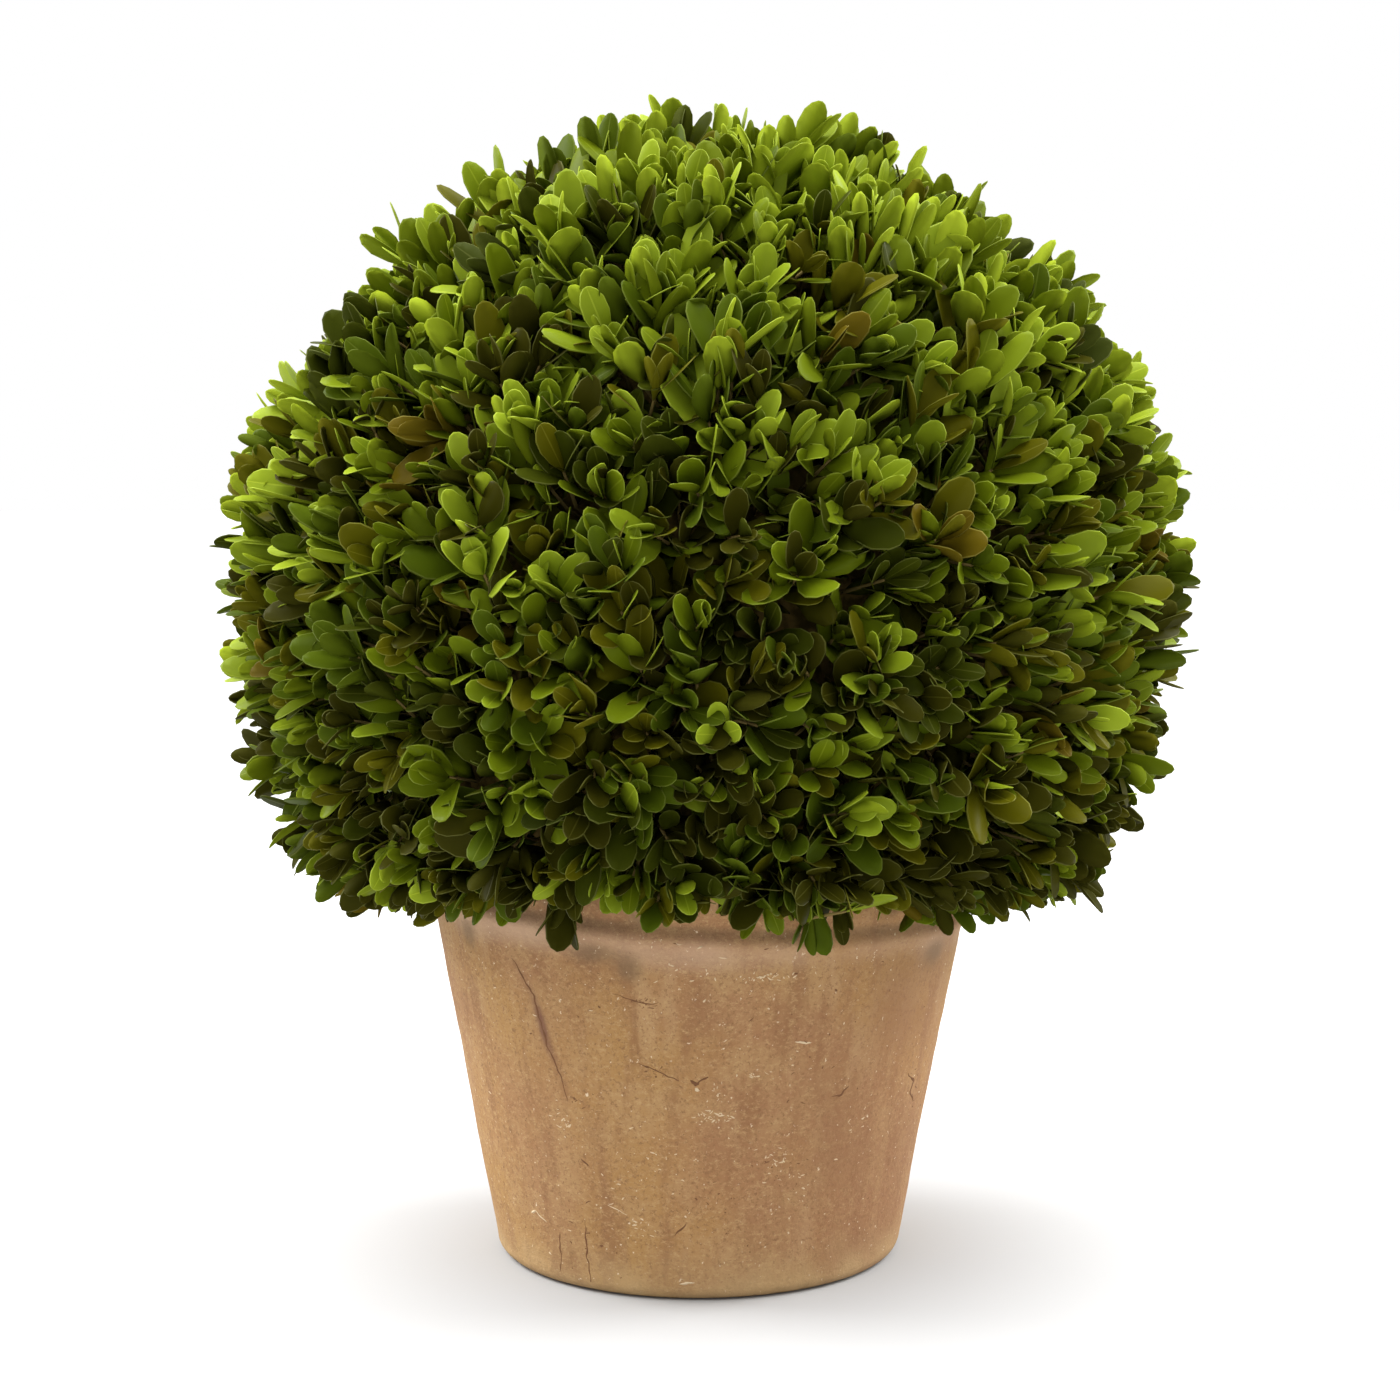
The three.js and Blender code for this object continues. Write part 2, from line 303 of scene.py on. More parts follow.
# The wall's relief: how far each form stands out, then its place over the shoulder and width, or its size.
RIDGE, RIDGE_OVER, RIDGE_WIDTH = 0.9 * MM, -1.0 * MM, 2.4 * MM
GROOVE, GROOVE_OVER, GROOVE_WIDTH = -1.7 * MM, 4.5 * MM, 3.2 * MM
HOLLOWS, HOLLOWS_SIZE = 0.55 * MM, 38 * MM
DENTS, DENTS_SIZE = 0.14 * MM, 7 * MM
BULGE = 1.3 * MM  # towards the rim at +X
CHIPS, CHIPS_SIZE, CHIPS_REACH = 2.0 * MM, 6 * MM, 4 * MM  # on the foot's edge
CHIPS_FROM = 0.3  # the noise over this chips the edge

# Marks on the wall: a path of (degrees from the front towards +X, height in mm), and half its width in mm.
LONG_CRACK = [
    (-42, 120), (-40, 115), (-37.5, 108), (-36, 99),
    (-35, 91), (-33, 83), (-31.6, 75), (-31.2, 71),
]
CRACKS = [
    (LONG_CRACK, 0.45),
    ([(-18, 111), (-14, 109), (-10, 108), (-8, 109)], 0.3),
    ([(-13, 87), (-10, 85), (-7, 83), (-4, 81)], 0.32),
    ([(-1.4, 81.4), (-0.3, 79.4), (0.7, 81), (2.3, 82.6)], 0.75),
    ([(31.6, 72.4), (34, 72.3), (36.3, 75.3)], 0.4),
    ([(-30, 27), (-30.2, 16), (-30.4, 4)], 0.4),
    ([(-38.5, 21), (-39.3, 12), (-40.3, 5)], 0.32),
    ([(-6, 24), (-3, 29)], 0.42),
    ([(-29.4, 50), (-27, 47)], 0.4),
    ([(-29, 33.5), (-27.4, 35)], 0.34),
    ([(64, 62), (61, 66), (62, 70), (58, 74)], 0.6),
    ([(104, 120), (98, 108), (101, 94), (95, 84), (97, 76)], 0.4),
    ([(171, 46), (178, 58), (176, 72), (184, 83)], 0.4),
    ([(-118, 30), (-110, 38), (-108, 52)], 0.34),
    ([(-150, 112), (-143, 106), (-139, 108)], 0.36),
]
SCRATCHES = [
    ([(21, 94), (25, 92.6)], 0.42),
    ([(-48.6, 25), (-46.8, 26.4)], 1.0),
    ([(-46.8, 26.4), (-43, 23)], 0.3),
    ([(-23, 34), (-18, 31)], 0.3),
    ([(-5, 6.3), (-1, 6.9)], 0.5),
    ([(-0.6, 78.6), (0.4, 77.4)], 0.7),
]
# Patches of small marks: degrees towards +X, height, spread across and up in mm, and how many.
PALE_PATCHES = [
    (14, 117, 13, 1.6, 34), (3, 68, 9, 2.6, 28), (13, 82, 8, 1.2, 8), (-33, 62, 4, 3, 14),
    (4, 77, 5, 5, 10), (-20, 42, 13, 11, 18), (-8, 50, 11, 9, 16), (-16, 25, 8, 4, 12),
    (18, 51, 10, 7, 18), (25, 39, 8, 7, 10), (-4, 122, 16, 8, 12), (42, 60, 10, 9, 12),
    (150, 90, 14, 6, 24), (-120, 60, 12, 8, 24), (-160, 30, 10, 5, 14), (100, 40, 8, 8, 14),
    (110, 112, 12, 3, 18), (-90, 100, 10, 12, 14),
]
DARK_PATCHES = [
    (-12, 108, 9, 2, 12), (-9, 84, 7, 2.5, 10), (-29, 71, 3, 3, 5), (5, 36, 17, 11, 14),
    (20, 46, 11, 9, 12), (-30, 20, 9, 11, 8), (30, 92, 21, 22, 12), (62, 66, 4, 9, 10),
    (160, 60, 16, 14, 16), (-100, 40, 14, 14, 14),
]
SMALL_MARKS = 130  # of each kind, at random. The sizes of these are in mm.
SMALL_MARK_HEIGHTS = (6, 132)
SMALL_MARK_LONGEST = 2.4
SMALL_MARK_RISE = 0.6  # how far up the wall they run, against round it
SMALL_MARK_HALF_WIDTHS = (0.15, 0.36)
LOWEST_MARK, HIGHEST_MARK = 4, 138
DEGREES_TO_A_MM = 0.62  # roughly, round the wall
MM_TO_A_DEGREE = 1.6
MARK_STEP = 0.9  # mm from one place of a mark's path to the next
FEWEST_STEPS = 4
MARK_WANDER = (0.004, 0.3 * MM)  # how far each place strays, round the wall in radians and up it
MARK_THINNEST, MARK_UNEVEN = 0.2, 1.6  # its width varies from the first of these by up to the second
MARK_ENDS = 0.12  # its width follows a sine from this many radians to as many before the half turn
# Round a mark: across it in half widths, and how far out of the wall. The last is its sunk keel.
MARK_RING = [(-1, -0.02 * MM), (0, 0.05 * MM), (1, -0.02 * MM), (0, -0.5 * MM)]

# Dark smudges, partly dirt and partly painted shadow: degrees from the front towards +X, height in mm, and
# size in mm across and up.
SMUDGES_AND_SHADOWS = [
    (-56, 126, 5, 6), (-22, 125, 9, 4), (-14, 120, 5, 5), (-11.9, 138, 4, 4), (-29, 141, 6, 4),
    (60, 118, 8, 5), (140, 125, 9, 7), (-130, 128, 8, 8), (100, 60, 7, 12),
]
SMUDGES_AND_SHADOWS_RADIUS = 95 * MM  # the wall's, about where they lie
# The wall's other stains and painted light and shade, each by its middle and its width.
# Pale bloom just under the shoulder's line, with a painted highlight along it.
BLOOM_AND_HIGHLIGHT_BAND = (-4 * MM, 8 * MM)  # over the shoulder, as is the next
# painted shade in the groove over the shoulder
GROOVE_SHADE_BAND = (3.2 * MM, 2.4 * MM)
WORN_BAND = (0, 17 * MM)  # over the foot, as is the next
# Along the long crack: stain, with painted shade where it widens in the middle.
CRACK_STAIN_AND_SHADE_BAND = (97 * MM, 11 * MM)
CRACK_STAIN_AND_SHADE_REACH = 2.0 * MM
BLUSH_BAND = (52, 34)  # degrees from the front towards +X


def wall_radius(z):
    return BASE_RADIUS + WALL_SLOPE * (z - FOOT_ROUND)


def over_shoulder(points):
    """How high each point lies over the line of the shoulder."""
    return points[:, 2] - (SHOULDER_Z + SHOULDER_TILT * points[:, 0])


def relief(points):
    """How far the wall stands out from its plain cone at the given points."""
    x, _, z = points.T
    over = over_shoulder(points)
    ridge = RIDGE * bell(over, RIDGE_OVER, RIDGE_WIDTH)
    groove = GROOVE * bell(over, GROOVE_OVER, GROOVE_WIDTH)
    hollows = HOLLOWS * noise_at(points, HOLLOWS_SIZE, seed=1)
    dents = DENTS * noise_at(points, DENTS_SIZE, seed=2)
    bulge = BULGE * np.clip(z / POT_HEIGHT, 0, 1) * np.clip(x / RIM_RADIUS, 0, 1)
    chipped = np.clip(noise_at(points, CHIPS_SIZE, seed=4) - CHIPS_FROM, 0, 1)
    return ridge + groove + (hollows + dents) + bulge - chipped * np.exp(-z / CHIPS_REACH) * CHIPS


def pot_profile():
    """The pot's outline from the middle of its underside, up the wall and down inside to its floor."""
    rim = wall_radius(POT_HEIGHT)
    inside = rim - WALL
    rows = [(BASE_RADIUS * share, 0) for share in (0, 0.4, 0.8)]
    for a in np.linspace(-math.pi / 2, 0, FOOT_STEPS):
        rows.append((BASE_RADIUS + FOOT_ROUND * (math.cos(a) - 1), FOOT_ROUND + FOOT_ROUND * math.sin(a)))
    rows += [(wall_radius(z), z) for z in np.linspace(FOOT_ROUND, POT_HEIGHT - LIP_ROUND, POT_ROWS)[1:]]
    for a in np.linspace(0, math.pi / 2, LIP_STEPS):
        rows.append((rim + LIP_ROUND * (math.cos(a) - 1), POT_HEIGHT + LIP_ROUND * (math.sin(a) - 1)))
    rows += [(inside + LIP_ROUND, POT_HEIGHT), (inside, POT_HEIGHT - LIP_ROUND)]
    rows += [(wall_radius(z) - WALL, z) for z in np.linspace(POT_HEIGHT - INSIDE_TOP, POT_FLOOR, INSIDE_ROWS)]
    return np.array(rows + [(0, POT_FLOOR)])


def make_pot():
    points, faces = lathe(pot_profile(), POT_COLUMNS)
    radius = np.hypot(points[:, 0], points[:, 1])
    height = points[:, 2]
    wall = radius > wall_radius(height) - SKIN_DEPTH
    wall = wall & (height > EDGE_KEPT) & (height < POT_HEIGHT - EDGE_KEPT)
    change = np.where(wall, relief(points), 0)
    change = np.where(wall & (height < FOOT_ROUND), np.minimum(change, 0), change)
    scale = (radius + change) / np.maximum(radius, TINY)
    points[:, :2] *= scale[:, None]
    pot = piece("clay_pot", points, faces, [clay_material()], "pot")
    for name, values in wall_stains(points).items():
        attribute = pot.data.attributes.new(name, "FLOAT", "POINT")
        attribute.data.foreach_set("value", (np.clip(values, 0, 1) * wall).astype(np.float32))


def wall_stains(points):
    """How strong each stain, painted highlight and painted shade is at each point of the wall, for the clay's
    material.
    """
    height = points[:, 2]
    angle = np.arctan2(points[:, 0], -points[:, 1])
    over = over_shoulder(points)
    broken = 0.5 + 0.5 * noise_at(points, 24 * MM, seed=5)
    groove_shade = bell(over, *GROOVE_SHADE_BAND) * (0.4 + 0.6 * broken)
    crack_stain_and_shade = bell(near_path(angle, height, LONG_CRACK), 0, CRACK_STAIN_AND_SHADE_REACH)
    return {
        "bloom_and_highlight": bell(over, *BLOOM_AND_HIGHLIGHT_BAND) * broken,
        # dirt smudges with painted shadow, and painted shade in the groove
        "smudge_and_shade": np.maximum(smudges_and_shadows(angle, height), 0.9 * groove_shade),
        "blush": bell(np.degrees(angle), *BLUSH_BAND) * (0.6 + 0.4 * noise_at(points, 26 * MM, seed=6)),
        "crack_stain_and_shade": crack_stain_and_shade * (0.3 + 0.7 * bell(height, *CRACK_STAIN_AND_SHADE_BAND)),
        "worn": bell(height, *WORN_BAND) * (0.75 + 0.5 * noise_at(points, 14 * MM, seed=7)),
    }


def near_path(angle, height, path):
    """How far places on the wall lie from a path of (degrees, mm)."""
    corners = np.array([(math.radians(a) * wall_radius(z * MM), z * MM) for a, z in path])
    spots = np.stack([angle * wall_radius(height), height], -1)
    nearest = np.full(len(angle), 1.0)
    for start, end in zip(corners[:-1], corners[1:]):
        along = end - start
        share = np.clip(((spots - start) @ along) / (along @ along), 0, 1)
        nearest = np.minimum(nearest, np.linalg.norm(spots - start - share[:, None] * along, axis=1))
    return nearest


def smudges_and_shadows(angle, z):
    total = np.zeros(len(angle))
    for degrees, height, across, up in SMUDGES_AND_SHADOWS:
        sideways = (angle - math.radians(degrees)) * SMUDGES_AND_SHADOWS_RADIUS / (across * MM)
        total += np.exp(-(sideways**2) - ((z - height * MM) / (up * MM)) ** 2)
    return np.clip(total, 0, 1)


def softened(values):
    return np.convolve(values, (0.25, 0.5, 0.25), "same")


def wall_mark(path, half):
    """Points and triangles of a thin closed sliver, let into the wall along a path."""
    corners = np.array(path, float)
    legs = np.hypot(*(np.diff(corners, axis=0) * [MM_TO_A_DEGREE, 1]).T)
    steps = np.concatenate([[0], np.cumsum(legs)])
    count = max(FEWEST_STEPS, int(steps[-1] / MARK_STEP))
    share = np.linspace(0, steps[-1], count)
    angle = np.radians(np.interp(share, steps, corners[:, 0]))
    height = np.interp(share, steps, corners[:, 1]) * MM
    angle = angle + softened(random.normal(0, MARK_WANDER[0], count))
    height = height + softened(random.normal(0, MARK_WANDER[1], count))
    along = np.stack([np.gradient(angle) * wall_radius(height), np.gradient(height)], -1)
    side = unit(along)[:, ::-1] * [-1, 1]
    taper = np.sin(np.linspace(MARK_ENDS, math.pi - MARK_ENDS, count)) ** 0.5
    width = half * MM * taper * (MARK_THINNEST + softened(random.uniform(0, MARK_UNEVEN, count)))
    rings = []
    for across, depth in MARK_RING:
        outward = facing(np.degrees(angle + side[:, 0] * width * across / wall_radius(height)))
        z = np.maximum(height + side[:, 1] * width * across, 1 * MM)
        spot = outward * wall_radius(z)[:, None] + UP * z[:, None]
        rings.append(spot + outward * (relief(spot) + depth)[:, None])
    sides = grid_faces(count, len(MARK_RING))[:, ::-1]
    first_end = np.array([(0, 1, 2), (0, 2, 3)])
    last_end = first_end[:, ::-1] + (count - 1) * len(MARK_RING)
    return np.stack(rings, 1).reshape(-1, 3), np.concatenate([sides, first_end, last_end])


def wall_marks(name, paths, material):
    points, faces = joined([wall_mark(path, half) for path, half in paths])
    piece(name, points, faces, [material], "pot")


def small_mark(turn, height):
    """A short fine mark near the given place."""
    length = SMALL_MARK_LONGEST * random.uniform(0.25, 1) ** 1.5  # most of them are short
    lean = random.uniform(0, math.pi)
    height = min(max(height, LOWEST_MARK), HIGHEST_MARK)
    end_turn = turn + DEGREES_TO_A_MM * length * math.cos(lean)
    end_height = height + SMALL_MARK_RISE * length * math.sin(lean)
    return [(turn, height), (end_turn, end_height)], random.uniform(*SMALL_MARK_HALF_WIDTHS)


def small_marks(patches):
    """Short marks at random places all round the wall, and some more in each of the given patches."""
    marks = []
    for _ in range(SMALL_MARKS):
        turn = random.uniform(-180, 180)
        marks.append(small_mark(turn, random.uniform(*SMALL_MARK_HEIGHTS)))
    for turn, height, across, up, count in patches:
        for aside, over in random.normal(0, 0.5, (count, 2)):
            marks.append(small_mark(turn + DEGREES_TO_A_MM * across * aside, height + up * over))
    return marks


def make_wall_marks():
    dark = plain_material("dirt_in_cracks", (0.150, 0.070, 0.034), 0.95, 0.1)
    pale = plain_material("lime_in_scratches", (0.58, 0.45, 0.29), 0.9, 0.1)
    wall_marks("wall_cracks", CRACKS + small_marks(DARK_PATCHES), dark)
    wall_marks("wall_scratches", SCRATCHES + small_marks(PALE_PATCHES), pale)


OCHRE = (0.350, 0.196, 0.070)
PINK = (0.298, 0.152, 0.070)
TAN = (0.378, 0.228, 0.100)
BRUSHED = (0.245, 0.120, 0.052)
DRY = (0.435, 0.275, 0.135)
FIBRE = (0.445, 0.285, 0.130)
GRAIN = (0.215, 0.108, 0.048)
BLUSH = (0.235, 0.112, 0.052)
WORN = (0.46, 0.312, 0.150)
BLOOM_AND_HIGHLIGHT = (0.48, 0.325, 0.212)
SMUDGE_AND_SHADE = (0.165, 0.104, 0.056)
CRACK_STAIN_AND_SHADE = (0.165, 0.075, 0.046)
LIME = (0.68, 0.55, 0.38)


def clay_material():
    """Old unglazed terracotta: patches, brushed streaks and grain, then the wall's stains, painted highlight
    and painted shade, and lime.
    """
    clay = Surface("aged_terracotta", OCHRE, 0.86, 0.25)
    clay.cover(PINK, clay.noise(75 * MM, 3), between=(0.38, 0.62))
    clay.cover(TAN, clay.noise(20 * MM, 7, 0.68), 0.8, between=(0.42, 0.68))
    clay.cover(BRUSHED, clay.noise(9 * MM, 5, 0.6, stretch=(1, 1, 0.11)), 0.8, between=(0.46, 0.70))
    clay.cover(DRY, clay.noise(11 * MM, 4, 0.6, stretch=(1, 1, 0.16)), 0.5, between=(0.55, 0.75))
    clay.cover(FIBRE, clay.noise(1.9 * MM, 6, 0.85, stretch=(0.8, 0.8, 1.2)), 0.85, between=(0.48, 0.67))
    clay.cover(GRAIN, clay.noise(1.6 * MM, 5, 0.85), 0.95, between=(0.50, 0.66))
    clay.cover(BLUSH, clay.mark("blush"), 0.75, between=(0.1, 0.95))
    clay.cover(WORN, clay.mark("worn"), 0.65, between=(0.1, 1.0))
    # pale bloom with a painted highlight under the shoulder
    clay.cover(BLOOM_AND_HIGHLIGHT, clay.mark("bloom_and_highlight"), 0.7, between=(0.15, 0.85))
    # dark smudges: dirt with painted shadow, and painted shade in the groove
    clay.cover(SMUDGE_AND_SHADE, clay.mark("smudge_and_shade"), 0.62)
    # stain along the long crack, with painted shade in its middle
    clay.cover(CRACK_STAIN_AND_SHADE, clay.mark("crack_stain_and_shade"), 0.92)
    clay.cover(LIME, clay.noise(1.7 * MM, 3, 0.6), 0.85, between=(0.67, 0.73))
    clay.roughen(clay.noise(5 * MM, 7, 0.7), 0.9 * MM, 0.8)
    clay.roughen(clay.noise(1.0 * MM, 3, 0.6), 0.2 * MM, 0.7)
    return clay.material


# ---- Soil and stem ----

SOIL_GAP = 0.4 * MM  # between the soil and the pot's wall
SOIL_EDGE_DROP = 3 * MM
SOIL_COLUMNS = 120
SOIL_RINGS = 26  # from its edge to its middle
SOIL_EDGE_KEPT = 1 * MM  # the crumbs start this far in from its edge
BIG_CRUMBS, BIG_CRUMBS_SIZE = 1.6 * MM, 6 * MM
SMALL_CRUMBS, SMALL_CRUMBS_SIZE = 0.8 * MM, 2.4 * MM
CRUMBS_SUNK = 1.2 * MM

STEM_ROWS = 44
STEM_COLUMNS = 72
ROOTS = 5  # round the flare
ROOTS_TURNED = 0.6  # radians
ROOTS_STAND_OUT = 0.16  # as a share of the radius
FURROWS, FURROWS_SIZE = 0.9 * MM, 3 * MM
FURROWS_DRAWN = np.array([1, 1, 0.35])  # drawn out up the stem
PLATES, PLATES_SIZE = 0.25 * MM, 1.6 * MM


def soil_profile():
    """From the middle of the fill's foot, up just inside the wall and in over its domed top."""
    foot = SOIL_LOW.z
    top = SOIL_HIGH.z
    edge = top - SOIL_EDGE_DROP
    low_radius = wall_radius(foot) - WALL - SOIL_GAP
    high_radius = wall_radius(edge) - WALL - SOIL_GAP
    rows = [(0, foot)]
    for share in (0, 0.5, 1):
        rows.append((low_radius + (high_radius - low_radius) * share, foot + (edge - foot) * share))
    for share in np.linspace(0, 1, SOIL_RINGS)[1:-1]:
        rows.append((high_radius * (1 - share), top - SOIL_EDGE_DROP * (1 - share)))
    return np.array(rows + [(0, top)])


def make_soil():
    """Damp compost with a crumbly top."""
    profile = soil_profile()
    points, faces = lathe(profile, SOIL_COLUMNS)
    over_foot = points[:, 2] > SOIL_LOW.z + SOIL_EDGE_KEPT
    inner = over_foot & (np.hypot(points[:, 0], points[:, 1]) < profile[:, 0].max() - SOIL_EDGE_KEPT)
    crumbs = BIG_CRUMBS * np.abs(noise_at(points, BIG_CRUMBS_SIZE, seed=8))
    crumbs += SMALL_CRUMBS * noise_at(points, SMALL_CRUMBS_SIZE, seed=9)
    points[:, 2] += np.where(inner, crumbs - CRUMBS_SUNK, 0)

    soil = Surface("damp_compost", (0.028, 0.017, 0.011), 0.95)
    soil.cover((0.075, 0.047, 0.028), soil.noise(3 * MM, 4), between=(0.4, 0.65))
    soil.cover((0.20, 0.14, 0.09), soil.noise(1.5 * MM, 2), between=(0.66, 0.72))
    soil.roughen(soil.noise(1.2 * MM, 4), 0.6 * MM)
    piece("compost", points, faces, [soil.material], "soil")


def bark_material():
    bark = Surface("box_bark", (0.10, 0.075, 0.045), 0.85)
    furrows = bark.noise(2.2 * MM, 5, 0.6, stretch=(1, 1, 0.3))
    bark.cover((0.27, 0.22, 0.15), furrows, between=(0.38, 0.62))
    bark.roughen(furrows, 0.5 * MM)
    return bark.material


def stem_point(share):
    low = np.array([0, 0, STEM_LOW.z])
    return low + STEM_LEAN * share + UP * (STEM_HIGH.z - STEM_LOW.z) * share


def make_stem(material):
    """The short trunk: its root flare and taper, with ridges of bark that run up it."""
    flare_share = STEM_FLARE / (STEM_HIGH.z - STEM_LOW.z)
    turn = np.arange(STEM_COLUMNS) * 2 * math.pi / STEM_COLUMNS
    middles = []
    rings = []
    for share in np.linspace(0, 1, STEM_ROWS):
        flare = max(0.0, 1 - share / flare_share) ** 2
        radius = STEM_NECK_RADIUS + (STEM_FOOT_RADIUS - STEM_NECK_RADIUS) * flare
        radius += (STEM_TIP_RADIUS - STEM_NECK_RADIUS) * max(0.0, (share - flare_share) / (1 - flare_share))
        roots = 1 + ROOTS_STAND_OUT * flare * np.cos(ROOTS * turn + ROOTS_TURNED)
        middles.append(stem_point(share))
        rings.append(stem_point(share) + circle(STEM_COLUMNS) * (radius * roots)[:, None])
    points = np.concatenate(rings)
    outward = unit(points - np.repeat(middles, STEM_COLUMNS, axis=0))
    furrows = -FURROWS * np.abs(noise_at(points * FURROWS_DRAWN, FURROWS_SIZE, seed=11))
    plates = PLATES * noise_at(points, PLATES_SIZE, seed=12)
    points += outward * (furrows + plates)[:, None]
    points, faces = skin(points.reshape(STEM_ROWS, STEM_COLUMNS, 3), middles[0], middles[-1])
    piece("trunk", points, faces, [material], "stem")


# ---- The crown's wood ----

CORE_ROWS = 70
CORE_COLUMNS = 150
CORE_LUMPS, CORE_LUMPS_SIZE = 5 * MM, 14 * MM
CORE_TUFTS, CORE_TUFTS_SIZE = 3 * MM, 5 * MM
# The hollow under the core, round the stem, and how wide its sloping edge is.
HOLLOW_RISE, HOLLOW_RADIUS, HOLLOW_EDGE = 26 * MM, 30 * MM, 14 * MM

STEM_CLEARANCE = 0.3 * MM  # from the stem's tip to the foot of the wood in the ball
LEADER_TOP = 60 * MM  # the ball's middle stem ends this far over the ball's middle
LEADER_POINTS = 7
LEADER_TIP_RADIUS = 4 * MM
BRANCHES = 170
BRANCHES_LOWEST = -0.72  # as a share of the radius
BRANCH_INSET = 4 * MM  # the branches end this far inside the thatch
BRANCH_BENDS = np.array([0.0, 0.35, 0.7, 1.0])  # shares of a branch's length
BRANCH_RADII = [3.4 * MM, 2.8 * MM, 2.2 * MM, 1.6 * MM]
BRANCH_SWAY = np.array([0, 2.5, 2.5, 0]) * MM  # at each bend
FIRST_BRANCH = 0.15  # where the lowest leaves the middle stem, as a share of its height
BRANCHES_REACH = 0.75  # from there to the highest


def spiral(count, lowest):
    """Directions on a golden-angle spiral from the top of the ball down to a share of its radius."""
    index = np.arange(count)
    height = 1 - (1 - lowest) * (index + 0.5) / count
    ring = np.sqrt(1 - height**2)
    return np.stack([ring * np.cos(GOLDEN * index), ring * np.sin(GOLDEN * index), height], -1)


branch_directions = spiral(BRANCHES, BRANCHES_LOWEST)
branch_ends = CROWN_CENTRE + branch_directions * (CORE_RADIUS - BRANCH_INSET)


def nearest_branch(points):
    return np.argmax(unit(points - CROWN_CENTRE) @ branch_directions.T, axis=1)


def make_core():
    """The thatch of old twigs and dead leaf in the ball, closed over the rim and hollow round the stem."""
    tilt = np.linspace(-math.pi / 2, math.pi / 2, CORE_ROWS)
    profile = np.stack([CORE_RADIUS * np.cos(tilt), CROWN_CENTRE[2] + CORE_RADIUS * np.sin(tilt)], -1)
    points, faces = lathe(profile, CORE_COLUMNS)
    rough = CORE_LUMPS * noise_at(points, CORE_LUMPS_SIZE, seed=21)
    rough += CORE_TUFTS * noise_at(points, CORE_TUFTS_SIZE, seed=22)
    points += unit(points - UP * CROWN_CENTRE[2]) * rough[:, None]
    flat = np.hypot(points[:, 0], points[:, 1])
    hollow = HOLLOW_RISE * (1 - np.clip((flat - HOLLOW_RADIUS) / HOLLOW_EDGE, 0, 1))
    points[:, 2] = np.maximum(points[:, 2], CORE_FOOT + hollow)
    points[:, 0] += CROWN_CENTRE[0]

    thatch = Surface("old_twigs_and_thatch", (0.055, 0.040, 0.010), 0.95, 0.01)
    thatch.cover((0.150, 0.102, 0.030), thatch.noise(6 * MM, 5), between=(0.4, 0.6))
    piece("thatch", points, faces, [thatch.material], "foliage_ball")


def make_boughs(material):
    """The ball's own middle stem, and branches that leave it and run out to the thatch."""
    foot = stem_point(1) + UP * STEM_CLEARANCE
    top = CROWN_CENTRE + UP * LEADER_TOP
    share = np.linspace(0, 1, LEADER_POINTS)[None, :, None]
    radii = np.linspace(STEM_TIP_RADIUS, LEADER_TIP_RADIUS, LEADER_POINTS)
    leader = tubes(foot + (top - foot) * share, radii, sides=16)
    rise = FIRST_BRANCH + BRANCHES_REACH * (branch_directions[:, 2:3] * 0.5 + 0.5)
    starts = foot + (top - foot) * rise
    paths = starts[:, None] + (branch_ends - starts)[:, None] * BRANCH_BENDS[None, :, None]
    paths += random.normal(0, 1, paths.shape) * BRANCH_SWAY[None, :, None]
    points, faces = joined([leader, tubes(paths, BRANCH_RADII, sides=6)])
    piece("boughs", points, faces, [material], "foliage_ball")


# ---- Sprigs ----

BALL_SPRIGS = 1800
BALL_LOWEST = -0.60  # as a share of the radius, as is the next
SPIRAL_JITTER = 0.022  # how far they stray from the even spiral
# Where the shears cut closer than a true ball, or with a minus less close: degrees from the top towards +X,
# by how many mm, and how wide in degrees.
CUTS = [(-38, 8, 17), (-85, 5, 9), (-110, -4, 8), (25, 4, 10), (78, -4, 8), (103, 4, 8)]
SWELLS, SWELLS_SIZE = 3.5 * MM, 0.45  # how far they stand out, and their size as a share of the radius
TUFTS, TUFTS_SIZE = 4.5 * MM, 0.14
GROWTH, GROWTH_VARIES = -2.0 * MM, 5.0 * MM  # of single sprigs: mean and deviation
SHORTEST, LONGEST = -14 * MM, 7 * MM
AIM_DROP = 52 * MM  # sprigs spread from a point this far under the ball's middle, so most lean up
BRANCH_LEAN = 0.16  # how far the sprigs of one branch lean together
OWN_LEAN = 0.21  # and how far each leans on its own
# Rows of the skirt: count, radius of the tips, height over the clipped underside, droop in degrees.
SKIRT_ROWS = [
    (46, 110 * MM, 10 * MM, 54),
    (50, 118 * MM, 13 * MM, 42),
    (54, 127 * MM, 17 * MM, 30),
]
SKIRT_JITTER = (0.3, 2 * MM, 2.2 * MM)  # along the row as a share of a place, out, and up
SKIRT_LEAN = 0.14
# Sprigs that the shears missed: degrees from the front towards +X, degrees up, and mm out.
STRAYS = [
    (90, 5, 9), (92, -21, 10), (84, -37, 8), (-88, -36, 3), (-90, 5, 3), (-40, 83, 6),
    (10, 84, 6), (60, 71, 6), (75, 40, 6), (-70, 47, 6), (20, -8, 7), (-35, -3, 6),
    (150, 20, 9), (200, -10, 8), (-120, 35, 8), (170, 60, 8),
]
# Sprigs that hang over the pot: degrees from the front towards +X, and their tips' height in mm.
HANGERS = [
    (-24, 146), (11, 150), (20, 142), (25, 144), (48, 143),
    (-66, 147), (80, 147), (130, 143), (200, 145),
]
HANGERS_RADIUS = 109 * MM
HANGERS_LEAN = 0.35  # how far out they point, against 1 down

